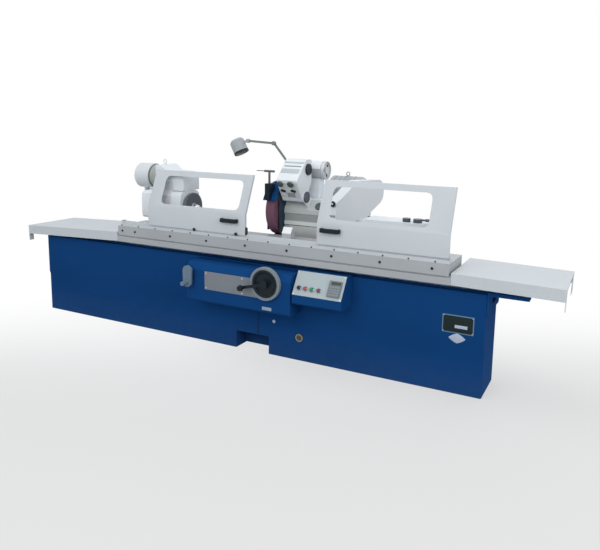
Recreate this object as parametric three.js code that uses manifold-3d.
// A universal cylindrical grinding machine, in millimetres, +Z up.
// X runs along the table, from the workhead to the tailstock. Y runs from the operator to the back.
// The origin is on the floor, straight under the line of centres, at the middle of the bed's length.
import * as THREE from "three";
import { mergeVertices } from "three/addons/utils/BufferGeometryUtils.js";
import Module from "manifold-3d";

const wasm = await Module();
wasm.setup();

// Clearances and stock shared by the whole machine
const seat = 0.3;
const runningGap = 0.3;
const sheet = 3;
const overrun = 6;
const weldRadius = 0.001;

// Bed: a long cast box that is open underneath, with a V way and a flat way on top
const bedLength = 3960;
const bedFront = 170;
const bedDepth = 357;
const bedTop = 700;
const bedWall = 24;
const bedBays = 10;
const plinthTop = 340;
const plinthInset = 8;
const plinthSlope = 15;
const veeCentre = -95;
const veeBaseHalf = 45;
const veePeakHalf = 8;
const veeFoot = 15;
const veeRise = 56;
const flatCentre = 100;
const flatHalf = 40;
const troughCentre = 5;
const troughHalf = 37;
const troughDepth = 80;
const recessLeft = 93;
const recessWidth = 291;
const recessHeight = 137;
const recessDepth = 150;

// Base behind the bed that carries the wheelhead
const baseLeft = -20;
const baseWidth = 920;
const baseDepth = 1143;
const baseTop = 780;
const baseWall = 24;
const baseBaysAcross = 3;
const baseBaysDeep = 3;
const crossWayHeight = 40;
const crossWayHalf = 45;
const crossWayInset = 30;
const crossWayLeft = 400;
const crossWayRight = 660;

// Lower table and the piston that drives it
const tableShorter = 1142;
const tableOffset = 351;
const tableLength = bedLength - tableShorter;
const tableLeft = tableOffset - tableLength / 2;
const tableFront = 234;
const tableBack = 150;
const tableUnder = 745;
const tableLip = 791;
const tableSeat = 800.7;
const tableLipWidth = 12;
const cylinderLeft = -300;
const cylinderLength = 1200;
const cylinderRadius = 32;
const cylinderBore = 25;
const pistonRodRadius = 14;
const rodBracketWidth = 30;
const tableStrokeLeft = 650;
const tableStrokeRight = 500;

// Upper table, which turns a little on the lower one
const swivelGap = 14;
const upperTop = 880;
const upperBack = 110;

// Rail on the front edge of the upper table, which the doors run on
const railFoot = 25;
const railFootDepth = 40;
const railHeight = 46;
const railWidth = 12;
const railSetback = 10;
const railStopLength = 24;
const railEndInset = 1;

// Sheet trays on both ends of the table
const trayFront = 231;
const trayBack = 306;
const trayInnerTop = 824;
const trayFlange = 78;
const trayEarDrop = 62;
const trayEndBar = 16;
const trayEarClear = 14;
const trayMouth = 762;
const trayLeftLength = 1099;
const trayRightLength = 680;
const trayLeftDroop = 2.1;
const trayRightDroop = 1.1;
const supportLength = 252;
const supportTop = 717;
const supportThick = 26;
const supportDrop = 150;
const supportPlate = 14;

// Sliding sheet doors
const doorWidth = 930;
const doorLeftInset = 346;
const doorEndGap = 4;
const doorLeftStart = tableLeft + doorLeftInset;
const doorRightStart = tableLeft + tableLength - swivelGap - doorEndGap - doorWidth;
const doorFootRise = 36;
const doorSkirt = 151;
const doorPanelRise = 290;
const doorFoot = upperTop + doorFootRise;
const doorBend = doorFoot + doorSkirt;
const doorTop = doorBend + doorPanelRise;
const doorSetback = 120;
const doorFlange = 22;
const doorFootHeight = 22;
const leftDoorPosts = [118, 70];
const rightDoorPosts = [80, 146];
const windowTopBar = 42;
const windowLowBar = 30;
const windowCorner = 45;
const doorTravel = 285;
const handleLength = 150;
const handleThick = 32;
const handleReach = 40;
const handleFoot = 18;
const handleRise = 104;
const handleHeight = doorFoot + handleRise;
const leftHandleInset = 58;
const rightHandleInset = 33;

// Line of centres
const centreHeight = 1060;

// Workhead
const headInset = 186;
const headLength = 404;
const headLeft = tableLeft + headInset;
const headRight = headLeft + headLength;
const headHalf = 130;
const headBaseHalf = 100;
const headBaseHeight = 70;
const headBaseInset = 40;
const headTop = 1190;
const headCorner = 70;
const housingTop = 1393;
const housingStep = 1340;
const housingStepWidth = 225;
const housingInset = 120;
const housingEdge = 10;
const housingFront = 86;
const housingBack = 124;
const housingCorner = 40;
const workSpindleRadius = 42;
const workNoseRadius = 62;
const workNoseLength = 20;
const workSpindleTail = 30;
const faceplateRadius = 112;
const faceplateBore = 30;
const faceplateThick = 20;
const drivePinRadius = 8;
const drivePinReach = 55;
const drivePinCircle = 80;
const centreRadius = 20;
const centreLength = 75;
const centreShank = 30;
const headMotorRadius = 104;
const headMotorCrownShare = 0.8;
const headMotorLength = 164;
const headMotorY = 60;
const headMotorZ = 1288;
const headMotorGap = 4;
const headMotorBevel = 16;
const headMotorGroove = 84;
const headMotorGrooveWidth = 12;
const headMotorNeck = 96;
const eyeboltRing = 16;
const eyeboltWire = 5;
const eyeboltCollar = 12;
const eyeboltCollarHeight = 10;
const eyeboltInset = 150;
const eyeboltX = headLeft + eyeboltInset;

// Tailstock
const tailInset = 220;
const tailLength = 450;
const tailFootInset = 35;
const tailHeelInset = 15;
const tailRight = tableLeft + tableLength - tailInset;
const tailLeft = tailRight - tailLength;
const tailHalf = 92;
const tailTop = 1100;
const tailBarrelBottom = 1008;
const tailFootLeft = tailLeft + tailFootInset;
const tailFootRight = tailRight - tailHeelInset;
const tailFootHeight = 48;
const tailWaistInset = 28;
const tailCorner = 18;
const quillRadius = 31;
const quillOut = 15;
const quillLength = 390;
const quillTravel = 35;
const quillStopGap = 40;
const leverInset = 62;
const leverHubX = tailRight - leverInset;
const leverHubY = -60;
const leverHubRadius = 30;
const leverHubHeight = 26;
const leverLength = 60;
const leverThick = 12;
const leverGripRadius = 10;
const leverGripLength = 46;
const leverSwing = 60;
const quillClampInset = 140;
const quillClampX = tailRight - quillClampInset;
const quillClampRadius = 27;
const quillClampHeight = 26;

// Grinding wheel, its spindle and its guard
const wheelY = 270;
const wheelX = 250;
const wheelRadius = 200;
const wheelWidth = 75;
const wheelBore = 101.5;
const flangeRadius = 124;
const flangeThick = 8;
const wheelSpindleNose = 30;
const wheelSpindleRadius = 45;
const wheelNutRadius = 44;
const wheelNutLength = 10;
const guardRadius = 228;
const guardInner = 212;
const guardLeft = 193;
const guardRight = 306;
const guardCheek = 4;
const guardMouthY = 130;
const guardMouthTop = 1150;
const guardChinY = 250;
const guardChinTop = 906;
const guardSpindleHole = 62;
const guardNeckRadius = 90;

// Wheelhead
const castingLeft = 310;
const castingRight = 700;
const castingFront = 200;
const castingFoot = 952;
const castingSeat = 940;
const castingBrow = 1080;
const castingBrowBack = 55;
const castingTop = 1160;
const castingTopBack = 560;
const castingDeck = 1035;
const castingBack = 1090;
const castingBandLow = 985;
const castingBandHigh = 1045;
const castingBandDeep = 6;
const saddleFront = 290;
const saddleBack = 1060;
const saddleLeft = 345;
const saddleRight = 715;
const coverTop = 948;
const coverLeft = 311;
const coverRight = 740;
const coverBack = 540;
const coverLip = 10;

// Main motor and belt drive of the wheel
const motorY = 930;
const motorZ = 1175;
const motorRadius = 122;
const motorBackShare = 0.85;
const motorFrontShare = 0.9;
const motorLeft = 385;
const motorRight = 690;
const motorFootHalf = 95;
const motorBell = 40;
const motorGrooves = 5;
const motorFinDeep = 6;
const pulleyLeft = 716;
const pulleyWidth = 50;
const wheelPulleyRadius = 70;
const motorPulleyRadius = 80;
const pulleyRim = 8;
const beltThick = 9;
const motorShaftRadius = 19;
const beltGuardLeft = castingRight + seat;
const beltGuardRight = 786;
const beltGuardWall = 4;
const beltGuardLift = 4;
const beltGuardNose = 125;
const beltGuardNoseTop = [103, 20];
// Corners of the belt guard, as [back, up] from the wheel's axis and then from the motor's axis
const beltGuardByWheel = [
  [-60, 118],
  [85, 165],
];
const beltGuardByMotor = [
  [-378, 123, 30],
  [155, 93, 60],
  [235, 40, 40],
  [235, -67, 40],
  [170, -109],
  [-70, -172],
  [-152, -210],
];

// Coolant valve on the wheel guard
const valveX = 245;
const valveHalf = 20;
const valveFront = 34;
const valveBack = 128;
const valveBottom = 1158;
const valveTop = 1285;
const valveStemY = 72;
const valveStemRadius = 9;
const valveStemHeight = 93;
const valveBarHalf = 44;
const valveBarRadius = 9;
const valveLeverLength = 70;
const valveLeverThick = 6;

// Internal grinding attachment, swung up on its pivot in front of the wheelhead
const bracketLeft = 325.5;
const bracketRight = 505;
const pivotY = 165;
const pivotZ = 1185;
const pivotRadius = 20;
const pivotBoss = 38;
const bracketNoseY = 36;
const bracketNoseZ = 1318;
const bracketTopFront = 189;
const bracketTopBack = 268;
const bracketTop = 1472;
const bracketBack = 282;
const bracketBackLow = 1290;
const bracketCorner = 10;
const innerSpindleY = 215;
const innerSpindleZ = 1395;
const innerBarrelRadius = 34;
const innerBarrelReach = 14;
const innerShaftRadius = 12;
const innerPulleyRadius = 45;
const innerPulleyLength = 14;
const innerQuillReach = 18;
const earThick = 14;
const earRadius = 44;
const pivotCap = 12;
const panelPlateThick = 5;
const panelMargin = 9;

// Motor of the internal grinding spindle, on top of the wheelhead
const innerMotorY = 390;
const innerMotorZ = 1380;
const innerMotorRadius = 74;
const innerMotorCrownShare = 0.85;
const innerMotorLeft = 395;
const innerMotorRight = 560;
const innerMotorPlinthHalf = 52;
const innerPlinthTopShare = 0.8;
const innerPlinthRiseShare = 0.5;
const innerDrivePulleyWidth = 26;
const innerDrivePulleyRadius = 73;
const innerDriveShaft = 14;

// Work lamp
const lampPostX = 352;
const lampPostY = 322;
const lampPostRadius = 12;
const lampPostTop = 1345;
const lampBaseRadius = 26;
const lampBaseHeight = 14;
const lampElbowX = 147;
const lampElbowZ = 1585;
const lampWristX = -90;
const lampWristZ = 1598;
const lampArmWidth = 18;
const lampArmThick = 8;
const lampHubRadius = 17;
const lampHubThick = 12;
const lampPinRadius = 4;
const lampShadeX = -175;
const lampShadeZ = 1550;
const lampShadeRadius = 60;
const lampShadeLength = 122;
const lampShadeWall = 3;
const lampShadeTilt = -28;
const lampNeckRise = 10;
const lampCrown = 30;
const lampCrownShare = 0.8;
const lampBulbRadius = 22;
const lampBulbLength = 52;
const lampBulbTipShare = 0.7;
const lampBulbRoundShare = 0.9;
const lampBulbBellyShare = 0.6;
const lampBulbCapShare = 0.6;

// Apron, the gearbox on the front of the bed
const apronLeft = -240;
const apronRight = 667;
const apronReach = 180;
const apronBottom = 386;
const apronTop = 690;
const apronChamfer = 15;
const apronBrow = 50;
const apronBrowShare = 0.7;
const apronPlateLeft = -68;
const apronPlateRight = 585;
const apronPlateBottom = 494;
const apronPlateTop = 634;
const apronPlateThick = 4;
const crossWheelX = 474;
const crossWheelZ = 612;
const crossDialOuter = 122;
const crossDialInner = 102;
const crossDialThick = 26;
const crossDiscRadius = 99;
const crossDiscThick = 12;
const crossHubRadius = 32;
const crossHubLength = 46;
const crossCrankLength = 182;
const crossCrankTurn = 14;
const crossCrankWidth = 22;
const crossCrankThick = 12;
const crossKnobRadius = 24;
const crossKnobTipShare = 0.8;
const crossKnobLength = 44;
const tableCrankX = -203;
const tableCrankZ = 628;
const tableCrankLength = 88;
const tableCrankHalf = 40;
const tableCrankThick = 20;
const tableCrankStub = 26;
const tableCrankBoss = 46;
const tableGripRadius = 17;
const tableGripLength = 60;

// Console with the push buttons, right of the apron
const consoleLeft = 680;
const consoleRight = 1062;
const consoleBottom = 488;
const consoleSill = 557;
const consoleTop = 715;
const consoleTopReach = 80;
const consoleChamfer = 12;
const panelThick = 4;
const panelInset = 3;
const buttonRadius = 12;
const bezelRadius = 16;
const bezelHeight = 9;
const buttonHeight = 14;
const buttonTravel = 5;
const buttonUp = 56;
const buttonXs = [727, 776, 826, 880];
const keypadLeft = 948;
const keypadWidth = 92;
const keypadLow = 24;
const keypadHigh = 140;
const keypadThick = 12;

// Sight glass on the plinth
const sightX = 650;
const sightZ = 179;
const sightRadius = 30;
const sightGlass = 21;
const sightThick = 9;

// Steel post with a pointed top, bolted on the upper table for dressing the wheel
const dresserX = 470;
const dresserY = -20;
const dresserHalf = 38;
const dresserBlock = 50;
const dresserTop = 974;
const dresserTipHalf = 7;

// Sides of round shapes
const bigRound = 40;
const midRound = 26;
const smallRound = 14;
const wireRound = 6;
const cornerSteps = 3;

const coat = {
  blue: { color: 0x123f78, roughness: 0.42, metalness: 0.0 },
  white: { color: 0xdde2e8, roughness: 0.45, metalness: 0.0 },
  grey: { color: 0xb9bec2, roughness: 0.5, metalness: 0.1 },
  steel: { color: 0x9aa0a4, roughness: 0.32, metalness: 0.9 },
  dark: { color: 0x3b3d40, roughness: 0.5, metalness: 0.6 },
  black: { color: 0x1b1c1e, roughness: 0.5, metalness: 0.0 },
  wheel: { color: 0x6b2f3f, roughness: 0.95, metalness: 0.0 },
  brass: { color: 0xb08a3e, roughness: 0.35, metalness: 0.9 },
  stainless: { color: 0xa7a59d, roughness: 0.35, metalness: 0.8 },
  rubber: { color: 0x222222, roughness: 0.85, metalness: 0.0 },
  red: { color: 0xa83232, roughness: 0.4, metalness: 0.0 },
  green: { color: 0x1f8f52, roughness: 0.4, metalness: 0.0 },
};

const radians = (degrees) => (degrees * Math.PI) / 180;
const machine = new THREE.Group();

// A three.js geometry becomes a manifold solid once its shared vertices are merged.
function solidOf(geometry) {
  const bare = new THREE.BufferGeometry();
  const whole = geometry.index ? geometry.toNonIndexed() : geometry;
  bare.setAttribute("position", whole.getAttribute("position"));
  const merged = mergeVertices(bare, weldRadius);
  // Faces that meet get the same numbers, so that joining them leaves no sliver.
  const snapped = merged.attributes.position.array.map((n) => Math.round(n / weldRadius) * weldRadius);
  return new wasm.Manifold(
    new wasm.Mesh({
      numProp: 3,
      vertProperties: snapped,
      triVerts: new Uint32Array(merged.index.array),
    }),
  );
}

function geometryOf(solid) {
  const mesh = solid.getMesh();
  const geometry = new THREE.BufferGeometry();
  geometry.setAttribute("position", new THREE.BufferAttribute(mesh.vertProperties, 3));
  geometry.setIndex(new THREE.BufferAttribute(mesh.triVerts, 1));
  geometry.computeVertexNormals();
  return geometry;
}

function add(name, solid, finish) {
  const mesh = new THREE.Mesh(geometryOf(solid), new THREE.MeshStandardMaterial(finish));
  mesh.name = name;
  machine.add(mesh);
}

function join(...solids) {
  return solids.reduce((all, one) => all.add(one));
}

function block([x0, x1], [y0, y1], [z0, z1]) {
  const box = new THREE.BoxGeometry(x1 - x0, y1 - y0, z1 - z0);
  box.translate((x0 + x1) / 2, (y0 + y1) / 2, (z0 + z1) / 2);
  return solidOf(box);
}

// A closed outline of [u, v] or [u, v, radius] corners. A corner with a radius is rounded.
function outline(corners) {
  const shape = new THREE.Shape();
  const at = (i) => corners[(i + corners.length) % corners.length];
  corners.forEach(([u, v, radius = 0], i) => {
    const here = new THREE.Vector2(u, v);
    const before = new THREE.Vector2(at(i - 1)[0], at(i - 1)[1]).sub(here);
    const after = new THREE.Vector2(at(i + 1)[0], at(i + 1)[1]).sub(here);
    const reach = Math.min(radius, before.length() / 2, after.length() / 2);
    const start = before.setLength(reach).add(here);
    const end = after.setLength(reach).add(here);
    if (i === 0) shape.moveTo(start.x, start.y);
    else shape.lineTo(start.x, start.y);
    if (reach > 0) shape.quadraticCurveTo(u, v, end.x, end.y);
  });
  shape.closePath();
  return shape;
}

function extruded(shape, depth, curveSegments = cornerSteps) {
  return new THREE.ExtrudeGeometry(shape, { depth, bevelEnabled: false, curveSegments });
}

// Turns an extrusion so that its outline lies in (y, z) and its depth runs along X.
function alongX(geometry, x0) {
  geometry.applyMatrix4(new THREE.Matrix4().set(0, 0, 1, x0, 1, 0, 0, 0, 0, 1, 0, 0, 0, 0, 0, 1));
  return solidOf(geometry);
}

// Turns an extrusion so that its outline lies in (x, z) and its depth runs towards -Y.
function alongY(geometry, y1) {
  geometry.applyMatrix4(new THREE.Matrix4().set(1, 0, 0, 0, 0, 0, -1, y1, 0, 1, 0, 0, 0, 0, 0, 1));
  return solidOf(geometry);
}

function prismX(corners, x0, x1) {
  return alongX(extruded(outline(corners), x1 - x0), x0);
}

function prismY(corners, y0, y1) {
  return alongY(extruded(outline(corners), y1 - y0), y1);
}

// Outlines in (x, y) drawn out along Z
function prismZ(corners, z0, z1) {
  const geometry = extruded(outline(corners), z1 - z0);
  geometry.translate(0, 0, z0);
  return solidOf(geometry);
}

// A turned profile of [radius, along] points from axis to axis, with its axis along +Z of its own frame
function turned(profile, sides) {
  const points = profile.map(([radius, along]) => new THREE.Vector2(radius, along));
  const geometry = new THREE.LatheGeometry(points, sides);
  geometry.rotateX(Math.PI / 2);
  return geometry;
}

function turnedX(profile, [y, z], sides = midRound) {
  const geometry = turned(profile, sides);
  geometry.rotateY(Math.PI / 2);
  geometry.translate(0, y, z);
  return solidOf(geometry);
}

function turnedZ(profile, [x, y], sides = midRound) {
  const geometry = turned(profile, sides);
  geometry.translate(x, y, 0);
  return solidOf(geometry);
}

// The axis points to -Y, so that along grows towards the operator.
function turnedY(profile, [x, z], sides = midRound) {
  const geometry = turned(profile, sides);
  geometry.rotateX(Math.PI / 2);
  geometry.translate(x, 0, z);
  return solidOf(geometry);
}

function rod(radius, from, to) {
  return [
    [0, from],
    [radius, from],
    [radius, to],
    [0, to],
  ];
}

function tube(outer, inner, from, to) {
  return [
    [inner, from],
    [outer, from],
    [outer, to],
    [inner, to],
    [inner, from],
  ];
}

// Outline round two circles, as a belt runs
function beltOutline([y0, z0, r0], [y1, z1, r1]) {
  const length = Math.hypot(y1 - y0, z1 - z0);
  const along = Math.atan2(z1 - z0, y1 - y0);
  const spread = Math.acos((r0 - r1) / length);
  const shape = new THREE.Shape();
  shape.absarc(y0, z0, r0, along + spread, along - spread + 2 * Math.PI, false);
  shape.absarc(y1, z1, r1, along - spread, along + spread, false);
  shape.closePath();
  return shape;
}

function beltPrism(first, second, x0, x1) {
  return alongX(extruded(beltOutline(first, second), x1 - x0, smallRound), x0);
}

// Bed

function veeCorners(spread) {
  return [
    [veeCentre + veeBaseHalf + spread, bedTop + veeFoot],
    [veeCentre + veePeakHalf + spread, bedTop + veeRise + spread],
    [veeCentre - veePeakHalf - spread, bedTop + veeRise + spread],
    [veeCentre - veeBaseHalf - spread, bedTop + veeFoot],
  ];
}

function bed() {
  const back = bedDepth - bedFront;
  const half = bedLength / 2;
  const plinth = plinthInset - bedFront;
  const flatTop = tableUnder - seat;
  const section = [
    [plinth, 0],
    [back, 0],
    [back, bedTop],
    [flatCentre + flatHalf, bedTop],
    [flatCentre + flatHalf, flatTop],
    [flatCentre - flatHalf, flatTop],
    [flatCentre - flatHalf, bedTop],
    [troughCentre + troughHalf, bedTop],
    [troughCentre + troughHalf, bedTop - troughDepth],
    [troughCentre - troughHalf, bedTop - troughDepth],
    [troughCentre - troughHalf, bedTop],
    [veeCentre + veeBaseHalf, bedTop],
    ...veeCorners(0),
    [veeCentre - veeBaseHalf, bedTop],
    [-bedFront, bedTop],
    [-bedFront, plinthTop + plinthSlope],
    [plinth, plinthTop],
  ];
  let solid = prismX(section, -half, half);
  const pitch = (bedLength - bedWall) / bedBays;
  for (let bay = 0; bay < bedBays; bay += 1) {
    const left = -half + bedWall + bay * pitch;
    const pocket = block(
      [left, left + pitch - bedWall],
      [plinth + bedWall, back - bedWall],
      [-overrun, bedTop - troughDepth - bedWall],
    );
    solid = solid.subtract(pocket);
  }
  // The recess at the foot keeps a wall between it and the bays behind it.
  const recessRight = recessLeft + recessWidth;
  const surround = block(
    [recessLeft - bedWall, recessRight + bedWall],
    [plinth, plinth + recessDepth + bedWall],
    [0, recessHeight + bedWall],
  );
  const recess = block(
    [recessLeft, recessRight],
    [-bedFront - overrun, plinth + recessDepth],
    [-overrun, recessHeight],
  );
  return solid.add(surround).subtract(recess);
}

function rearBase() {
  const front = bedDepth - bedFront + seat;
  const back = front + baseDepth;
  let solid = block([baseLeft, baseLeft + baseWidth], [front, back], [0, baseTop]);
  const acrossPitch = (baseWidth - baseWall) / baseBaysAcross;
  const deepPitch = (baseDepth - baseWall) / baseBaysDeep;
  for (let i = 0; i < baseBaysAcross; i += 1) {
    for (let j = 0; j < baseBaysDeep; j += 1) {
      const left = baseLeft + baseWall + i * acrossPitch;
      const near = front + baseWall + j * deepPitch;
      const pocket = block(
        [left, left + acrossPitch - baseWall],
        [near, near + deepPitch - baseWall],
        [-overrun, baseTop - baseWall],
      );
      solid = solid.subtract(pocket);
    }
  }
  for (const x of [crossWayLeft, crossWayRight]) {
    const way = block(
      [x - crossWayHalf, x + crossWayHalf],
      [front + crossWayInset, back - crossWayInset],
      [baseTop - baseWall, baseTop + crossWayHeight],
    );
    solid = solid.add(way);
  }
  return solid;
}

// Formed stainless cover between the bed and the wheelhead, open behind and below
function lowerCover() {
  const low = baseTop + seat;
  const outer = block([coverLeft, coverRight], [castingFront, coverBack], [low, coverTop]);
  const hollow = block(
    [coverLeft + sheet, coverRight - sheet],
    [castingFront + sheet, coverBack + overrun],
    [low - overrun, coverTop - sheet],
  );
  const roofless = block(
    [coverLeft - overrun, coverRight + overrun],
    [castingFront + coverLip, coverBack + overrun],
    [coverTop - coverLip, coverTop + overrun],
  );
  return outer.subtract(hollow).subtract(roofless);
}

// Table

function lowerTable() {
  const flank = seat * Math.SQRT2;
  const section = [
    [-tableFront, tableUnder],
    [veeCentre - veeHalfAt(tableUnder) - flank, tableUnder],
    [veeCentre - veePeakHalf - flank, bedTop + veeRise + seat],
    [veeCentre + veePeakHalf + flank, bedTop + veeRise + seat],
    [veeCentre + veeHalfAt(tableUnder) + flank, tableUnder],
    [tableBack, tableUnder],
    [tableBack, tableSeat],
    [tableLipWidth - tableFront, tableSeat],
    [tableLipWidth - tableFront, tableLip],
    [-tableFront, tableLip],
  ];
  return prismX(section, tableLeft, tableLeft + tableLength);
}

// Half the width of the V way at a height
function veeHalfAt(z) {
  const share = (bedTop + veeRise - z) / (veeRise - veeFoot);
  return veePeakHalf + share * (veeBaseHalf - veePeakHalf);
}

function tableCylinder() {
  const z = bedTop - troughDepth / 2;
  const barrel = tube(cylinderRadius, cylinderBore, cylinderLeft, cylinderLeft + cylinderLength);
  const foot = block(
    [cylinderLeft + cylinderLength / 4, cylinderLeft + (cylinderLength * 3) / 4],
    [troughCentre - cylinderRadius / 2, troughCentre + cylinderRadius / 2],
    [bedTop - troughDepth + seat, z - (cylinderRadius + cylinderBore) / 2],
  );
  return join(turnedX(barrel, [troughCentre, z], smallRound), foot);
}

// Rod with its piston and the two brackets that hang from the table
function pistonRod() {
  const z = bedTop - troughDepth / 2;
  const left = cylinderLeft - tableStrokeRight - 2 * rodBracketWidth;
  const right = cylinderLeft + cylinderLength + tableStrokeLeft + 2 * rodBracketWidth;
  const middle = cylinderLeft + cylinderLength / 2;
  const pistonHalf = rodBracketWidth;
  const profile = [
    [0, left],
    [pistonRodRadius, left],
    [pistonRodRadius, middle - pistonHalf],
    [cylinderBore - runningGap, middle - pistonHalf],
    [cylinderBore - runningGap, middle + pistonHalf],
    [pistonRodRadius, middle + pistonHalf],
    [pistonRodRadius, right],
    [0, right],
  ];
  const brackets = [left, right - rodBracketWidth].map((x) =>
    block(
      [x, x + rodBracketWidth],
      [troughCentre - cylinderBore, troughCentre + cylinderBore],
      [z - cylinderBore, tableUnder - seat],
    ),
  );
  return join(turnedX(profile, [troughCentre, z], smallRound), ...brackets);
}

function upperTable() {
  return block(
    [tableLeft + swivelGap, tableLeft + tableLength - swivelGap],
    [-tableFront, upperBack],
    [tableSeat + seat, upperTop],
  );
}

function doorRail() {
  const low = upperTop + seat;
  const front = -tableFront;
  const section = [
    [front, low],
    [front + railFootDepth, low],
    [front + railFootDepth, low + railFoot / 2],
    [front + railSetback + railWidth, low + railFoot],
    [front + railSetback + railWidth, low + railHeight],
    [front + railSetback, low + railHeight],
    [front + railSetback, low + railFoot],
    [front, low + railFoot],
  ];
  const left = tableLeft + swivelGap + railFootDepth;
  const right = tableLeft + tableLength - swivelGap;
  const rail = prismX(section, left, right);
  const across = [front + railEndInset, front + railFootDepth - railEndInset];
  const up = [low, low + railHeight + railEndInset];
  const stop = block([left - railEndInset, left + railStopLength], across, up);
  const endPlate = block([right - sheet, right + railEndInset], across, up);
  return join(rail, stop, endPlate);
}

// A tray is a sheet pan with its open side down: a top plate, a flange along each long side, an end
// flange whose two ears hang lower on both sides of the bed, and a joint plate against the table's end.
function tray(length, droop, side) {
  const inner = side < 0 ? tableLeft - seat : tableLeft + tableLength + seat;
  const span = (a, b) => (side < 0 ? [inner - b, inner - a] : [inner + a, inner + b]);
  const width = [-trayFront, trayBack];
  const low = trayInnerTop - trayFlange;
  const topPlate = block(span(0, length), width, [trayInnerTop - sheet, trayInnerTop]);
  const flanges = [-trayFront, trayBack - sheet].map((y) =>
    block(span(0, length), [y, y + sheet], [low, trayInnerTop]),
  );
  const joint = block(span(0, sheet), width, [trayMouth, trayInnerTop]);
  const ears = block(span(length - sheet, length), width, [low - trayEarDrop, trayInnerTop]);
  const bedBack = bedDepth - bedFront;
  const passage = block(
    span(length - sheet - overrun, length + overrun),
    [-bedFront - trayEarClear, bedBack + trayEarClear],
    [low - trayEarDrop - overrun, trayInnerTop - trayEndBar],
  );
  const geometry = geometryOf(join(topPlate, ...flanges, joint, ears.subtract(passage)));
  geometry.translate(-inner, 0, -trayInnerTop);
  geometry.rotateY(radians(side * droop));
  geometry.translate(inner, 0, trayInnerTop);
  // The turned joint plate is trimmed square to the table's end.
  const beyond = block(
    side < 0 ? [inner, inner + trayFlange] : [inner - trayFlange, inner],
    [-trayFront - overrun, trayBack + overrun],
    [low - trayFlange, trayInnerTop + trayFlange],
  );
  return solidOf(geometry).subtract(beyond);
}

// Bracket on the right end of the bed that the tray runs over
function traySupport() {
  const left = bedLength / 2 + seat;
  const back = bedDepth - bedFront;
  const plate = block([left, left + supportPlate], [-bedFront, back], [supportTop - supportDrop, supportTop]);
  const arms = [-bedFront, back - supportDrop / 2].map((y) =>
    block([left, left + supportLength], [y, y + supportDrop / 2], [supportTop - supportThick, supportTop]),
  );
  const trough = block(
    [left - overrun, left + supportPlate + overrun],
    [veeCentre + veeBaseHalf, flatCentre - flatHalf],
    [bedTop - troughDepth - overrun, supportTop + overrun],
  );
  const ways = block(
    [left - overrun, left + supportPlate + overrun],
    [-bedFront - overrun, back + overrun],
    [bedTop, supportTop + overrun],
  );
  return join(plate.subtract(trough).subtract(ways), ...arms);
}

// Doors

const doorFace = -tableFront - seat;
const leanSlope = doorSetback / doorPanelRise;

// Y of the door's front face at a height
function doorY(z) {
  return z <= doorBend ? doorFace : doorFace + (z - doorBend) * leanSlope;
}

function door(left, [leftPost, rightPost]) {
  const right = left + doorWidth;
  const thickTop = sheet;
  const skin = [
    [doorY(doorFoot), doorFoot],
    [doorY(doorFoot) + sheet, doorFoot],
    [doorY(doorBend) + sheet, doorBend],
    [doorY(doorTop) + sheet, doorTop - thickTop],
    [doorY(doorTop) + doorFlange, doorTop - thickTop],
    [doorY(doorTop) + doorFlange, doorTop],
    [doorY(doorTop), doorTop],
    [doorY(doorBend), doorBend],
  ];
  const endPlate = [
    [doorY(doorFoot), doorFoot],
    [doorY(doorFoot) + doorFlange, doorFoot + doorFootHeight],
    [doorY(doorBend) + doorFlange, doorBend],
    [doorY(doorTop) + doorFlange, doorTop],
    [doorY(doorTop), doorTop],
    [doorY(doorBend), doorBend],
  ];
  // The foot straddles the rail.
  const railFront = -tableFront + railSetback;
  const railTop = upperTop + seat + railHeight;
  const foot = block(
    [left, right],
    [doorFace, railFront + railWidth + railSetback],
    [doorFoot, doorFoot + doorFootHeight],
  );
  const slot = block(
    [left - overrun, right + overrun],
    [railFront - seat, railFront + railWidth + seat],
    [doorFoot - overrun, railTop + seat],
  );
  const low = doorBend + windowLowBar;
  const high = doorTop - windowTopBar;
  const window = prismY(
    [
      [left + leftPost, low, windowCorner],
      [right - rightPost, low, windowCorner],
      [right - rightPost, high, windowCorner],
      [left + leftPost, high, windowCorner],
    ],
    doorFace - overrun,
    doorY(doorTop) + doorFlange + overrun,
  );
  return join(
    prismX(skin, left, right).subtract(window),
    prismX(endPlate, left, left + sheet),
    prismX(endPlate, right - sheet, right),
    foot,
  ).subtract(slot);
}

// Black bow handle on the lower panel
function doorHandle(centre) {
  const face = doorFace - seat;
  const half = handleLength / 2;
  const bow = prismZ(
    [
      [centre - half, face],
      [centre - half, face - handleReach, handleFoot],
      [centre + half, face - handleReach, handleFoot],
      [centre + half, face],
      [centre + half - handleFoot, face],
      [centre + half - handleFoot, face - handleReach + handleFoot],
      [centre - half + handleFoot, face - handleReach + handleFoot],
      [centre - half + handleFoot, face],
    ],
    handleHeight - handleThick / 2,
    handleHeight + handleThick / 2,
  );
  return bow;
}

// Workhead

// The drawn circle has flat sides, so that a bore is widened until a shaft clears the middle of each.
function boreRadius(radius, sides = midRound) {
  return (radius + runningGap) / Math.cos(Math.PI / sides);
}

function workheadBody() {
  const base = block(
    [headLeft + headBaseInset, headRight - headBaseInset],
    [-headBaseHalf, headBaseHalf],
    [upperTop + seat, upperTop + headBaseHeight + overrun],
  );
  const main = prismX(
    [
      [-headHalf, upperTop + headBaseHeight, headBaseInset],
      [headHalf, upperTop + headBaseHeight, headBaseInset],
      [headHalf, headTop, headCorner],
      [-headHalf, headTop, headCorner],
    ],
    headLeft,
    headRight,
  );
  const bore = turnedX(
    rod(boreRadius(workSpindleRadius), headLeft - overrun, headRight + overrun),
    [0, centreHeight],
  );
  return join(base, main).subtract(bore);
}

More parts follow.
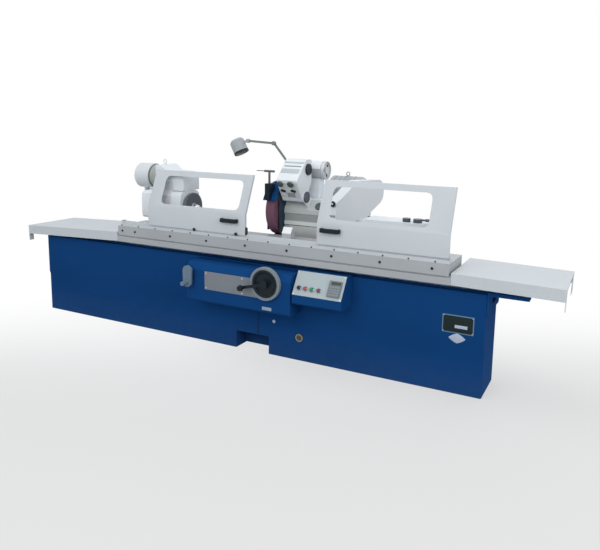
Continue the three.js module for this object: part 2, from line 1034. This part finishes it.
function workheadHousing() {
  const left = headLeft + housingInset;
  const step = headRight - housingStepWidth;
  const low = headTop + seat;
  const shell = prismY(
    [
      [left, low],
      [headRight, low],
      [headRight, housingStep, housingCorner],
      [step + housingCorner, housingStep + housingCorner / 4, housingCorner],
      [step, housingTop, housingCorner],
      [left, housingTop, housingEdge],
    ],
    -housingFront,
    housingBack,
  );
  return join(shell, eyebolt([eyeboltX, 0, housingTop - sheet]));
}

// The motor is bolted on the housing's left side by a long neck that passes over the body.
function workheadMotor() {
  const right = headLeft + housingInset - seat;
  const bell = headLeft - headMotorGap;
  const left = bell - headMotorLength;
  const profile = [
    [0, left],
    [headMotorRadius * headMotorCrownShare, left],
    [headMotorRadius, left + headMotorBevel],
    [headMotorRadius, bell],
    [headMotorGroove, bell],
    [headMotorGroove, bell + headMotorGrooveWidth],
    [headMotorNeck, bell + headMotorGrooveWidth],
    [headMotorNeck, right],
    [0, right],
  ];
  return turnedX(profile, [headMotorY, headMotorZ], bigRound);
}

// A ring that stands on a collar, for lifting
function eyebolt([x, y, z]) {
  const ring = new THREE.TorusGeometry(eyeboltRing, eyeboltWire, wireRound, smallRound);
  ring.rotateX(Math.PI / 2);
  ring.translate(x, y, z + eyeboltCollarHeight + eyeboltRing + eyeboltWire / 2);
  const collar = turnedZ(rod(eyeboltCollar, z, z + eyeboltCollarHeight + eyeboltWire), [x, y], smallRound);
  return join(solidOf(ring), collar);
}

function workSpindle() {
  const tail = headLeft - workSpindleTail;
  const face = headRight + workNoseLength;
  const plateFace = face + seat + faceplateThick;
  const profile = [
    [0, tail],
    [workSpindleRadius, tail],
    [workSpindleRadius, headRight + seat],
    [workNoseRadius, headRight + seat],
    [workNoseRadius, face],
    [faceplateBore, face],
    [faceplateBore, plateFace],
    [centreRadius, plateFace],
    [centreRadius, plateFace + centreShank],
    [0, plateFace + centreLength],
  ];
  return turnedX(profile, [0, centreHeight], midRound);
}

function faceplate() {
  const near = headRight + workNoseLength + seat;
  const far = near + faceplateThick;
  const ring = tube(faceplateRadius, faceplateBore + seat, near, far);
  const disc = turnedX(ring, [0, centreHeight], bigRound);
  const pin = turnedX(
    rod(drivePinRadius, far - faceplateThick / 2, far + drivePinReach),
    [-drivePinCircle, centreHeight],
    smallRound,
  );
  return join(disc, pin);
}

// Tailstock

function tailstockBody() {
  const section = [
    [tailFootLeft, upperTop + seat],
    [tailFootRight, upperTop + seat],
    [tailFootRight, upperTop + tailFootHeight, tailCorner],
    [tailFootRight - tailWaistInset, upperTop + tailFootHeight + tailCorner, tailCorner],
    [tailFootRight - tailWaistInset, tailBarrelBottom - tailCorner, tailCorner],
    [tailRight, tailBarrelBottom, tailCorner],
    [tailRight, tailTop, tailCorner],
    [tailLeft, tailTop, tailCorner],
    [tailLeft, tailBarrelBottom, tailCorner],
    [tailFootLeft + tailWaistInset, tailBarrelBottom - tailCorner, tailCorner],
    [tailFootLeft + tailWaistInset, upperTop + tailFootHeight + tailCorner, tailCorner],
    [tailFootLeft, upperTop + tailFootHeight, tailCorner],
  ];
  const bore = turnedX(
    rod(boreRadius(quillRadius), tailLeft - overrun, tailLeft - quillOut + quillLength + quillStopGap),
    [0, centreHeight],
  );
  return prismY(section, -tailHalf, tailHalf).subtract(bore);
}

function tailQuill() {
  const left = tailLeft - quillOut;
  const profile = [
    [0, left - centreLength],
    [centreRadius, left - centreShank],
    [centreRadius, left],
    [quillRadius, left],
    [quillRadius, left + quillLength],
    [0, left + quillLength],
  ];
  return turnedX(profile, [0, centreHeight], midRound);
}

function quillLever() {
  const low = tailTop + seat;
  const high = low + leverHubHeight;
  const end = leverHubX + leverLength;
  const hub = turnedZ(rod(leverHubRadius, low, high), [leverHubX, leverHubY]);
  const across = [leverHubY - leverThick / 2, leverHubY + leverThick / 2];
  const arm = block([leverHubX, end], across, [high - leverThick, high]);
  const grip = turnedX(
    rod(leverGripRadius, end - leverThick / 2, end + leverGripLength),
    [leverHubY, high - leverThick / 2],
    smallRound,
  );
  return join(hub, arm, grip);
}

function quillClamp() {
  const low = tailTop + seat;
  return turnedZ(rod(quillClampRadius, low, low + quillClampHeight), [quillClampX, leverHubY], smallRound);
}

// Wheelhead

function wheelheadCasting() {
  const front = castingFront;
  const inset = castingFront + castingBandDeep;
  const section = [
    [front, castingFoot],
    [saddleFront, castingFoot],
    [saddleFront, castingSeat + seat],
    [castingBack, castingSeat + seat],
    [castingBack, castingDeck],
    [castingTopBack + castingBrowBack, castingDeck],
    [castingTopBack, castingTop],
    [front + castingBrowBack, castingTop],
    [front, castingBrow],
    [front, castingBandHigh],
    [inset, castingBandHigh],
    [inset, castingBandLow],
    [front, castingBandLow],
  ];
  const bore = turnedX(
    rod(boreRadius(wheelSpindleRadius), castingLeft - overrun, castingRight + overrun),
    [wheelY, centreHeight],
  );
  // The ear carries the pivot pin of the internal grinding attachment.
  const earOutline = beltOutline(
    [pivotY, pivotZ, earRadius],
    [castingFront + castingBrowBack + earRadius, castingBrow, earRadius],
  );
  const earRight = bracketRight + seat;
  const ear = alongX(extruded(earOutline, earThick, smallRound / 2), earRight);
  const pinBore = turnedX(
    rod(pivotRadius + seat, earRight - overrun, earRight + earThick + overrun),
    [pivotY, pivotZ],
  );
  return join(prismX(section, castingLeft, castingRight), ear.subtract(pinBore)).subtract(bore);
}

function pivotPin() {
  const right = bracketRight + seat + earThick + seat;
  const profile = [
    [0, bracketLeft + overrun],
    [pivotRadius, bracketLeft + overrun],
    [pivotRadius, right],
    [earRadius - seat, right],
    [earRadius - seat, right + pivotCap],
    [0, right + pivotCap],
  ];
  return turnedX(profile, [pivotY, pivotZ], midRound);
}

function saddle() {
  const low = baseTop + crossWayHeight + seat;
  const body = block([saddleLeft, saddleRight], [saddleFront, saddleBack], [low, castingSeat]);
  const legs = [crossWayLeft, crossWayRight].map((x) =>
    block(
      [x - crossWayHalf - seat - baseWall, x - crossWayHalf - seat],
      [saddleFront, saddleBack],
      [low - crossWayHeight / 2, low + overrun],
    ),
  );
  return join(body, ...legs);
}

function wheelGuard() {
  const axis = [wheelY, centreHeight];
  const outer = turnedX(rod(guardRadius, guardLeft, guardRight), axis, bigRound);
  const inner = turnedX(rod(guardInner, guardLeft + guardCheek, guardRight - guardCheek), axis, bigRound);
  const neck = turnedX(
    rod(guardNeckRadius, guardRight - guardCheek, castingLeft - seat),
    axis,
    midRound,
  );
  const hole = turnedX(rod(guardSpindleHole, guardLeft - overrun, castingLeft + overrun), axis);
  const wide = [guardLeft - overrun, guardRight + overrun];
  const mouth = block(
    wide,
    [wheelY - guardRadius - overrun, guardMouthY],
    [centreHeight - guardRadius - overrun, guardMouthTop],
  );
  const chin = block(
    wide,
    [wheelY - guardRadius - overrun, guardChinY],
    [centreHeight - guardRadius - overrun, guardChinTop],
  );
  return join(outer.subtract(inner), neck).subtract(hole).subtract(mouth).subtract(chin);
}

function grindingWheel() {
  const left = wheelX - wheelWidth / 2;
  return turnedX(
    tube(wheelRadius, wheelBore, left, left + wheelWidth),
    [wheelY, centreHeight],
    bigRound,
  );
}

// Hub through the wheel's bore, with a clamping disc on each side
function wheelFlange() {
  const left = wheelX - wheelWidth / 2 - seat;
  const right = wheelX + wheelWidth / 2 + seat;
  const hub = wheelBore - seat;
  const bore = wheelSpindleNose + seat;
  const profile = [
    [bore, left - flangeThick],
    [flangeRadius, left - flangeThick],
    [flangeRadius, left],
    [hub, left],
    [hub, right],
    [flangeRadius, right],
    [flangeRadius, right + flangeThick],
    [bore, right + flangeThick],
    [bore, left - flangeThick],
  ];
  return turnedX(profile, [wheelY, centreHeight], bigRound);
}

function wheelSpindle() {
  const flangeLeft = wheelX - wheelWidth / 2 - seat - flangeThick;
  const flangeRight = wheelX + wheelWidth / 2 + seat + flangeThick;
  const pulleyRight = pulleyLeft + pulleyWidth;
  const profile = [
    [0, flangeLeft - seat - wheelNutLength],
    [wheelNutRadius, flangeLeft - seat - wheelNutLength],
    [wheelNutRadius, flangeLeft - seat],
    [wheelSpindleNose, flangeLeft - seat],
    [wheelSpindleNose, flangeRight + seat],
    [wheelSpindleRadius, flangeRight + seat],
    [wheelSpindleRadius, castingRight + seat],
    ...pulleyProfile(wheelPulleyRadius, pulleyLeft, pulleyRight),
    [0, pulleyRight],
  ];
  return turnedX(profile, [wheelY, centreHeight], midRound);
}

// A pulley with a raised rim on both sides of its belts
function pulleyProfile(radius, from, to) {
  const lip = radius + beltThick + pulleyRim / 4;
  const outerOfBoss = wheelSpindleNose;
  return [
    [outerOfBoss, castingRight + seat],
    [outerOfBoss, from],
    [lip, from],
    [lip, from + pulleyRim],
    [radius, from + pulleyRim],
    [radius, to - pulleyRim],
    [lip, to - pulleyRim],
    [lip, to],
  ];
}

function mainMotor() {
  const finned = motorRight - motorLeft - 2 * motorBell;
  const pitch = finned / motorGrooves;
  const grooves = [];
  for (let i = 0; i < motorGrooves; i += 1) {
    const start = motorLeft + motorBell + i * pitch + pitch / 4;
    grooves.push(
      [motorRadius, start],
      [motorRadius - motorFinDeep, start],
      [motorRadius - motorFinDeep, start + pitch / 2],
      [motorRadius, start + pitch / 2],
    );
  }
  const body = turnedX(
    [
      [0, motorLeft],
      [motorRadius * motorBackShare, motorLeft],
      [motorRadius, motorLeft + motorBell / 2],
      ...grooves,
      [motorRadius, motorRight - motorBell / 2],
      [motorRadius * motorFrontShare, motorRight],
      [motorShaftRadius, motorRight],
      [motorShaftRadius, pulleyLeft - seat],
      [0, pulleyLeft - seat],
    ],
    [motorY, motorZ],
    midRound,
  );
  const foot = block(
    [motorLeft + motorBell, motorRight - motorBell],
    [motorY - motorFootHalf, motorY + motorFootHalf],
    [castingDeck + seat, motorZ - motorRadius / 2],
  );
  const top = motorZ + motorRadius - motorFinDeep - sheet;
  return join(body, foot, eyebolt([(motorLeft + motorRight) / 2, motorY, top]));
}

function motorPulley() {
  const right = pulleyLeft + pulleyWidth;
  const lip = motorPulleyRadius + beltThick + pulleyRim / 4;
  const profile = [
    [0, pulleyLeft],
    [lip, pulleyLeft],
    [lip, pulleyLeft + pulleyRim],
    [motorPulleyRadius, pulleyLeft + pulleyRim],
    [motorPulleyRadius, right - pulleyRim],
    [lip, right - pulleyRim],
    [lip, right],
    [0, right],
  ];
  return turnedX(profile, [motorY, motorZ], midRound);
}

// The belts run side by side and are one band here.
function driveBelts() {
  const left = pulleyLeft + pulleyRim + seat;
  const right = pulleyLeft + pulleyWidth - pulleyRim - seat;
  const first = [wheelY, centreHeight, wheelPulleyRadius + seat];
  const second = [motorY, motorZ, motorPulleyRadius + seat];
  const grow = ([y, z, r]) => [y, z, r + beltThick];
  const band = beltPrism(grow(first), grow(second), left, right);
  return band.subtract(beltPrism(first, second, left - overrun, right + overrun));
}

// The guard follows the belts from the wheel's axis up to the motor's, and stands clear of the cover.
function beltGuardCorners() {
  const low = coverTop + beltGuardLift;
  const nose = wheelY - beltGuardNose;
  const [noseTop, noseRound] = beltGuardNoseTop;
  const byWheel = beltGuardByWheel.map(([back, up, r]) => [wheelY + back, centreHeight + up, r]);
  const byMotor = beltGuardByMotor.map(([back, up, r]) => [motorY + back, motorZ + up, r]);
  const [heel] = byMotor[byMotor.length - 1];
  return [[nose, low], [nose, centreHeight + noseTop, noseRound], ...byWheel, ...byMotor, [heel, low]];
}

// The rounded outline, pulled in by a wall
function shrunk(corners, wall) {
  const drawn = outline(corners).getPoints(cornerSteps);
  const section = new wasm.CrossSection([drawn.map(({ x, y }) => [x, y])], "EvenOdd");
  return section.offset(-wall, "Miter").toPolygons()[0];
}

function beltGuard() {
  const corners = beltGuardCorners();
  const shell = prismX(corners, beltGuardLeft, beltGuardRight);
  const hollow = prismX(
    shrunk(corners, beltGuardWall),
    beltGuardLeft + beltGuardWall,
    beltGuardRight - beltGuardWall,
  );
  const spindleHole = turnedX(
    rod(wheelSpindleRadius + sheet, beltGuardLeft - overrun, beltGuardLeft + 2 * overrun),
    [wheelY, centreHeight],
  );
  const shaftHole = turnedX(
    rod(motorShaftRadius + sheet, beltGuardLeft - overrun, beltGuardLeft + 2 * overrun),
    [motorY, motorZ],
  );
  return shell.subtract(hollow).subtract(spindleHole).subtract(shaftHole);
}

// Coolant valve

function coolantValve() {
  const body = prismY(
    [
      [valveX - valveHalf, valveBottom, sheet],
      [valveX + valveHalf, valveBottom, sheet],
      [valveX + valveHalf, valveTop, sheet],
      [valveX - valveHalf, valveTop, sheet],
    ],
    valveFront,
    valveBack,
  );
  const guardFace = turnedX(
    rod(guardRadius + seat, guardLeft - overrun, guardRight + overrun),
    [wheelY, centreHeight],
    bigRound,
  );
  return body.subtract(guardFace);
}

function valveKnob() {
  const low = valveTop + seat;
  const high = low + valveStemHeight;
  const stem = turnedZ(rod(valveStemRadius, low, high), [valveX, valveStemY], smallRound);
  const bar = turnedX(
    rod(valveBarRadius, valveX - valveBarHalf, valveX + valveBarHalf),
    [valveStemY, high],
    smallRound,
  );
  const lever = block(
    [valveX - valveBarHalf - valveLeverLength, valveX - valveBarHalf + valveBarRadius],
    [valveStemY - valveLeverThick / 2, valveStemY + valveLeverThick / 2],
    [high - valveLeverThick / 2, high + valveLeverThick / 2],
  );
  return join(stem, bar, lever);
}

// Internal grinding attachment

function bracketCorners() {
  return [
    [pivotY - pivotBoss, pivotZ - bracketCorner],
    [pivotY - pivotBoss / 2, pivotZ - pivotBoss, bracketCorner],
    [pivotY + pivotBoss / 2, pivotZ - pivotBoss, bracketCorner],
    [pivotY + pivotBoss, pivotZ, bracketCorner],
    [bracketBack, bracketBackLow, bracketCorner],
    [bracketBack, bracketTop - bracketCorner, bracketCorner],
    [bracketTopBack, bracketTop, bracketCorner],
    [bracketTopFront, bracketTop, bracketCorner],
    [bracketNoseY, bracketNoseZ, bracketCorner],
  ];
}

function innerBracket() {
  const body = prismX(bracketCorners(), bracketLeft, bracketRight);
  const pinBore = turnedX(
    rod(boreRadius(pivotRadius), bracketLeft + overrun - seat, bracketRight + overrun),
    [pivotY, pivotZ],
  );
  const barrelBore = turnedX(
    rod(
      boreRadius(innerShaftRadius, smallRound),
      bracketLeft - innerBarrelReach - overrun,
      bracketRight + overrun,
    ),
    [innerSpindleY, innerSpindleZ],
    smallRound,
  );
  const barrel = turnedX(
    rod(innerBarrelRadius, bracketLeft - innerBarrelReach, bracketLeft + overrun),
    [innerSpindleY, innerSpindleZ],
  );
  return join(body, barrel).subtract(pinBore).subtract(barrelBore);
}

function innerSpindle() {
  const barrelEnd = bracketLeft - innerBarrelReach;
  const tip = barrelEnd - innerQuillReach;
  const pulley = bracketRight + seat;
  const profile = [
    [0, tip],
    [innerShaftRadius + 2 * sheet, tip],
    [innerShaftRadius + 2 * sheet, tip + innerQuillReach / 2],
    [innerShaftRadius, tip + innerQuillReach / 2],
    [innerShaftRadius, pulley],
    [innerPulleyRadius, pulley],
    [innerPulleyRadius, pulley + innerPulleyLength],
    [0, pulley + innerPulleyLength],
  ];
  return turnedX(profile, [innerSpindleY, innerSpindleZ], smallRound);
}

// Plate on the front of the attachment, between its foot and its nose
function bracketPlate() {
  const low = new THREE.Vector2(pivotY - pivotBoss, pivotZ - bracketCorner);
  const high = new THREE.Vector2(bracketNoseY, bracketNoseZ);
  const up = high.clone().sub(low).normalize();
  const out = new THREE.Vector2(-up.y, up.x);
  const point = (along, away) => {
    const p = low.clone().addScaledVector(up, along).addScaledVector(out, away);
    return [p.x, p.y];
  };
  const length = high.distanceTo(low);
  return prismX(
    [
      point(panelMargin, seat),
      point(panelMargin, panelPlateThick),
      point(length - 2 * bracketCorner, panelPlateThick),
      point(length - 2 * bracketCorner, seat),
    ].reverse(),
    bracketLeft + panelMargin,
    bracketRight - panelMargin,
  );
}

function innerMotor() {
  const axis = [innerMotorY, innerMotorZ];
  const body = turnedX(
    [
      [0, innerMotorLeft],
      [innerMotorRadius * innerMotorCrownShare, innerMotorLeft],
      [innerMotorRadius, innerMotorLeft + panelMargin],
      [innerMotorRadius, innerMotorRight],
      [innerDriveShaft, innerMotorRight],
      [innerDriveShaft, innerMotorRight + sheet],
      [0, innerMotorRight + sheet],
    ],
    axis,
    bigRound,
  );
  const plinthTopHalf = innerMotorPlinthHalf * innerPlinthTopShare;
  const plinthHigh = innerMotorZ - innerMotorRadius * innerPlinthRiseShare;
  const plinth = prismX(
    [
      [innerMotorY - innerMotorPlinthHalf, castingTop + seat],
      [innerMotorY + innerMotorPlinthHalf, castingTop + seat],
      [innerMotorY + plinthTopHalf, plinthHigh],
      [innerMotorY - plinthTopHalf, plinthHigh],
    ],
    innerMotorLeft + 2 * panelMargin,
    innerMotorRight - 2 * panelMargin,
  );
  return join(body, plinth);
}

function innerDrivePulley() {
  const left = innerMotorRight + sheet + seat;
  const right = left + innerDrivePulleyWidth;
  const dish = innerDrivePulleyRadius - 2 * sheet;
  const profile = [
    [0, left],
    [innerDrivePulleyRadius, left],
    [innerDrivePulleyRadius, right],
    [dish, right],
    [dish, right - innerDrivePulleyWidth / 2],
    [innerDriveShaft * 2, right - innerDrivePulleyWidth / 2],
    [innerDriveShaft * 2, right],
    [0, right],
  ];
  return turnedX(profile, [innerMotorY, innerMotorZ], midRound);
}

// Lamp

function lampPost() {
  const low = castingTop + seat;
  const base = turnedZ(rod(lampBaseRadius, low, low + lampBaseHeight), [lampPostX, lampPostY], smallRound);
  const shoulder = lampPostTop - lampHubRadius - lampPostRadius;
  const post = turnedZ(
    [
      [0, low],
      [lampPostRadius, low],
      [lampPostRadius, shoulder],
      [lampHubThick / 2, shoulder + lampPostRadius / 2],
      [lampHubThick / 2, lampPostTop - lampHubRadius / 2],
      [0, lampPostTop - lampHubRadius / 2],
    ],
    [lampPostX, lampPostY],
    smallRound,
  );
  const hub = solidOf(
    new THREE.CylinderGeometry(lampHubRadius, lampHubRadius, lampHubThick, smallRound).translate(
      lampPostX,
      lampPostY,
      lampPostTop,
    ),
  );
  return join(base, post, hub);
}

// A bar between two round hubs whose pins run along Y. Each hub lies a layer in front of the last.
function lampArm([x0, z0], [x1, z1], layer) {
  const y = lampPostY - layer * (lampHubThick + seat);
  const length = Math.hypot(x1 - x0, z1 - z0);
  const bar = new THREE.BoxGeometry(length, lampArmThick, lampArmWidth);
  bar.rotateY(-Math.atan2(z1 - z0, x1 - x0));
  bar.translate((x0 + x1) / 2, y, (z0 + z1) / 2);
  const hubs = [
    [x0, z0],
    [x1, z1],
  ].map(([x, z]) =>
    solidOf(
      new THREE.CylinderGeometry(lampHubRadius, lampHubRadius, lampHubThick, smallRound).translate(x, y, z),
    ),
  );
  return join(solidOf(bar), ...hubs);
}

// A round shade with its mouth down and a bulb inside, on a short neck from the wrist
function lampHead() {
  const y = lampPostY - 3 * (lampHubThick + seat);
  const half = lampShadeLength / 2;
  const ceiling = half - lampCrown;
  const inside = lampShadeRadius - lampShadeWall;
  const shade = turned(
    [
      [0, ceiling - lampBulbLength],
      [lampBulbRadius * lampBulbTipShare, ceiling - lampBulbLength * lampBulbRoundShare],
      [lampBulbRadius, ceiling - lampBulbLength * lampBulbBellyShare],
      [lampBulbRadius * lampBulbCapShare, ceiling],
      [inside, ceiling],
      [inside, -half],
      [lampShadeRadius, -half],
      [lampShadeRadius, half - lampCrown / 2],
      [lampShadeRadius * lampCrownShare, half],
      [0, half],
    ],
    midRound,
  );
  const tilt = radians(lampShadeTilt);
  shade.rotateY(tilt);
  shade.translate(lampShadeX, y, lampShadeZ);
  // The neck ends in the wall of the shade, on the side that faces the wrist.
  const reach = lampShadeRadius - lampShadeWall / 2;
  const end = [
    lampShadeX + reach * Math.cos(tilt) + lampNeckRise * Math.sin(tilt),
    lampShadeZ - reach * Math.sin(tilt) + lampNeckRise * Math.cos(tilt),
  ];
  const length = Math.hypot(end[0] - lampWristX, end[1] - lampWristZ);
  const neck = new THREE.BoxGeometry(length, lampArmThick, lampArmWidth);
  neck.rotateY(-Math.atan2(end[1] - lampWristZ, end[0] - lampWristX));
  neck.translate((end[0] + lampWristX) / 2, y, (end[1] + lampWristZ) / 2);
  const hub = new THREE.CylinderGeometry(lampHubRadius, lampHubRadius, lampHubThick, smallRound);
  hub.translate(lampWristX, y, lampWristZ);
  return join(solidOf(shade), solidOf(neck), solidOf(hub));
}

// Apron and its hand controls

const apronFace = -bedFront - apronReach;

function apron() {
  const back = -bedFront - seat;
  return prismX(
    [
      [back, apronBottom],
      [apronFace + apronChamfer, apronBottom],
      [apronFace, apronBottom + apronChamfer],
      [apronFace, apronTop - apronBrow],
      [apronFace + apronBrow * apronBrowShare, apronTop],
      [back, apronTop],
    ].reverse(),
    apronLeft,
    apronRight,
  );
}

function apronPlate() {
  const back = apronFace - seat;
  const plate = prismY(
    [
      [apronPlateLeft, apronPlateBottom],
      [apronPlateRight, apronPlateBottom],
      [apronPlateRight, apronPlateTop],
      [apronPlateLeft, apronPlateTop],
    ],
    back - apronPlateThick,
    back,
  );
  const surround = turnedY(
    rod(crossDialOuter, -back, apronPlateThick - back),
    [crossWheelX, crossWheelZ],
    bigRound,
  );
  const corner = block(
    [crossWheelX, apronPlateRight + overrun],
    [back - apronPlateThick - overrun, back + overrun],
    [apronPlateBottom - overrun, crossWheelZ],
  );
  return join(plate.subtract(corner), surround);
}

function crossDial() {
  const near = -apronFace + seat + apronPlateThick + seat;
  return turnedY(
    tube(crossDialOuter, crossDialInner, near, near + crossDialThick),
    [crossWheelX, crossWheelZ],
    bigRound,
  );
}

function crossWheel() {
  const near = -apronFace + seat + apronPlateThick + seat;
  const face = near + crossDialThick;
  const profile = [
    [0, near],
    [crossDiscRadius, near],
    [crossDiscRadius, face],
    [crossDiscRadius - crossDiscThick, face],
    [crossDiscRadius - 2 * crossDiscThick, near + crossDiscThick],
    [crossHubRadius, near + crossDiscThick],
    [crossHubRadius, near + crossHubLength],
    [0, near + crossHubLength],
  ];
  return join(turnedY(profile, [crossWheelX, crossWheelZ], bigRound), crossCrank());
}

// Crank arm across the hub, with a round knob beyond the dial
function crossCrank() {
  const near = -apronFace + seat + apronPlateThick + seat + crossHubLength - crossCrankThick / 2;
  const arm = block(
    [-crossCrankLength, crossHubRadius],
    [-near - crossCrankThick, -near],
    [-crossCrankWidth / 2, crossCrankWidth / 2],
  );
  const knob = turnedY(
    [
      [0, near],
      [crossKnobRadius / 2, near],
      [crossKnobRadius / 2, near + crossCrankThick],
      [crossKnobRadius, near + crossKnobLength / 2],
      [crossKnobRadius * crossKnobTipShare, near + crossKnobLength],
      [0, near + crossKnobLength],
    ],
    [-crossCrankLength, 0],
    smallRound,
  );
  const geometry = geometryOf(join(arm, knob));
  geometry.rotateY(radians(-crossCrankTurn));
  geometry.translate(crossWheelX, 0, crossWheelZ);
  return solidOf(geometry);
}

// White hand crank that traverses the table, hanging down
function tableCrank() {
  const near = -apronFace + seat;
  const face = near + tableCrankStub;
  const stub = turnedY(rod(tableCrankBoss / 2, near, face + sheet), [tableCrankX, tableCrankZ], smallRound);
  const arm = beltOutline(
    [tableCrankX, tableCrankZ, tableCrankHalf],
    [tableCrankX, tableCrankZ - tableCrankLength, tableCrankHalf - sheet],
  );
  const grip = turnedY(
    rod(tableGripRadius, face + tableCrankThick - sheet, face + tableCrankThick + tableGripLength),
    [tableCrankX, tableCrankZ - tableCrankLength],
    smallRound,
  );
  return join(alongY(extruded(arm, tableCrankThick, smallRound / 2), -face), stub, grip);
}

// Console

const panelLow = new THREE.Vector2(apronFace, consoleSill);
const panelHigh = new THREE.Vector2(-bedFront - consoleTopReach, consoleTop);
const panelUp = panelHigh.clone().sub(panelLow).normalize();
const panelOut = new THREE.Vector2(-panelUp.y, panelUp.x);
const panelLength = panelHigh.distanceTo(panelLow);

function panelPoint(along, away) {
  const p = panelLow.clone().addScaledVector(panelUp, along).addScaledVector(panelOut, away);
  return [p.x, p.y];
}

function consoleBox() {
  const back = -bedFront - seat;
  return prismX(
    [
      [back, consoleBottom],
      [back, consoleTop],
      [panelHigh.x, panelHigh.y],
      [panelLow.x, panelLow.y],
      [apronFace, consoleBottom + consoleChamfer],
      [apronFace + consoleChamfer, consoleBottom],
    ],
    consoleLeft,
    consoleRight,
  );
}

function controlPanel() {
  const plate = prismX(
    [
      panelPoint(panelInset, seat),
      panelPoint(panelInset, seat + panelThick),
      panelPoint(panelLength - panelInset, seat + panelThick),
      panelPoint(panelLength - panelInset, seat),
    ].reverse(),
    consoleLeft + panelInset,
    consoleRight - panelInset,
  );
  const top = seat + panelThick;
  const bezels = buttonXs.map((x) =>
    onPanel(tube(bezelRadius, buttonRadius + runningGap, top - panelInset / 2, top + bezelHeight), x),
  );
  const wells = buttonXs.map((x) => onPanel(rod(buttonRadius + runningGap, top, top + bezelHeight), x));
  return join(plate, ...bezels).subtract(join(...wells));
}

// A turned piece that stands square on the panel
function onPanel(profile, x) {
  const geometry = turned(profile, smallRound);
  geometry.rotateX(Math.PI / 2 - Math.atan2(panelOut.y, -panelOut.x));
  const [y, z] = panelPoint(buttonUp, 0);
  geometry.translate(x, y, z);
  return solidOf(geometry);
}

function keypad() {
  const low = seat + panelThick + seat;
  return prismX(
    [
      panelPoint(keypadLow, low),
      panelPoint(keypadLow, low + keypadThick),
      panelPoint(keypadHigh, low + keypadThick),
      panelPoint(keypadHigh, low),
    ].reverse(),
    keypadLeft,
    keypadLeft + keypadWidth,
  );
}

// A push button that slides in its bezel
function pushButton(x) {
  const low = seat + panelThick + seat + buttonTravel;
  const profile = [
    [0, low],
    [buttonRadius, low],
    [buttonRadius, low + buttonHeight - sheet],
    [buttonRadius - sheet, low + buttonHeight],
    [0, low + buttonHeight],
  ];
  return onPanel(profile, x);
}

function sightGlassRing() {
  const back = bedFront - plinthInset + seat;
  const profile = [
    [0, back],
    [sightRadius, back],
    [sightRadius, back + sightThick],
    [sightGlass, back + sightThick],
    [sightGlass, back + sightThick / 2],
    [0, back + sightThick / 2],
  ];
  return turnedY(profile, [sightX, sightZ], midRound);
}

function dresserPost() {
  const low = upperTop + seat;
  return prismX(
    [
      [dresserY - dresserHalf, low],
      [dresserY + dresserHalf, low],
      [dresserY + dresserHalf, low + dresserBlock],
      [dresserY + dresserTipHalf, dresserTop],
      [dresserY - dresserTipHalf, dresserTop],
      [dresserY - dresserHalf, low + dresserBlock],
    ],
    dresserX - dresserHalf,
    dresserX + dresserHalf,
  );
}

add("bed", bed(), coat.blue);
add("rear_base", rearBase(), coat.blue);
add("lower_cover", lowerCover(), coat.stainless);
add("tray_support", traySupport(), coat.blue);
add("table_cylinder", tableCylinder(), coat.steel);
add("apron", apron(), coat.blue);
add("apron_plate", apronPlate(), coat.white);
add("cross_dial", crossDial(), coat.white);
add("console", consoleBox(), coat.blue);
add("control_panel", controlPanel(), coat.white);
add("keypad", keypad(), coat.grey);
add("sight_glass", sightGlassRing(), coat.brass);

add("cross_wheel", crossWheel(), coat.black);
add("table_crank", tableCrank(), coat.white);
const buttonCoats = [coat.black, coat.red, coat.green, coat.red];
buttonXs.forEach((x, i) => add(`button_${i + 1}`, pushButton(x), buttonCoats[i]));

add("lower_table", lowerTable(), coat.grey);
add("piston_rod", pistonRod(), coat.steel);
add("tray_left", tray(trayLeftLength, trayLeftDroop, -1), coat.white);
add("tray_right", tray(trayRightLength, trayRightDroop, 1), coat.white);

add("upper_table", upperTable(), coat.grey);
add("door_rail", doorRail(), coat.white);
add("dresser_post", dresserPost(), coat.steel);
add("workhead_body", workheadBody(), coat.white);
add("workhead_housing", workheadHousing(), coat.white);
add("workhead_motor", workheadMotor(), coat.grey);
add("tailstock_body", tailstockBody(), coat.white);

add("work_spindle", workSpindle(), coat.steel);
add("faceplate", faceplate(), coat.dark);

add("tail_quill", tailQuill(), coat.steel);
add("quill_lever", quillLever(), coat.dark);
add("quill_clamp", quillClamp(), coat.dark);

add("door_left", door(doorLeftStart, leftDoorPosts), coat.white);
add("door_right", door(doorRightStart, rightDoorPosts), coat.white);
add("handle_left", doorHandle(doorLeftStart + doorWidth - leftHandleInset - handleLength / 2), coat.black);
add("handle_right", doorHandle(doorRightStart + rightHandleInset + handleLength / 2), coat.black);

add("wheelhead_saddle", saddle(), coat.blue);
add("wheelhead_casting", wheelheadCasting(), coat.white);
add("pivot_pin", pivotPin(), coat.dark);
add("wheel_guard", wheelGuard(), coat.blue);
add("coolant_valve", coolantValve(), coat.black);
add("main_motor", mainMotor(), coat.grey);
add("drive_belts", driveBelts(), coat.rubber);
add("belt_guard", beltGuard(), coat.white);
add("inner_motor", innerMotor(), coat.white);
add("lamp_post", lampPost(), coat.grey);

add("grinding_wheel", grindingWheel(), coat.wheel);
add("wheel_flange", wheelFlange(), coat.dark);
add("wheel_spindle", wheelSpindle(), coat.steel);
add("motor_pulley", motorPulley(), coat.dark);
add("valve_knob", valveKnob(), coat.dark);
add("inner_bracket", innerBracket(), coat.white);
add("bracket_plate", bracketPlate(), coat.grey);
add("inner_spindle", innerSpindle(), coat.dark);
add("inner_drive_pulley", innerDrivePulley(), coat.white);
add("lamp_lower_arm", lampArm([lampPostX, lampPostTop], [lampElbowX, lampElbowZ], 1), coat.grey);
add("lamp_upper_arm", lampArm([lampElbowX, lampElbowZ], [lampWristX, lampWristZ], 2), coat.grey);
add("lamp_head", lampHead(), coat.grey);

export default machine;
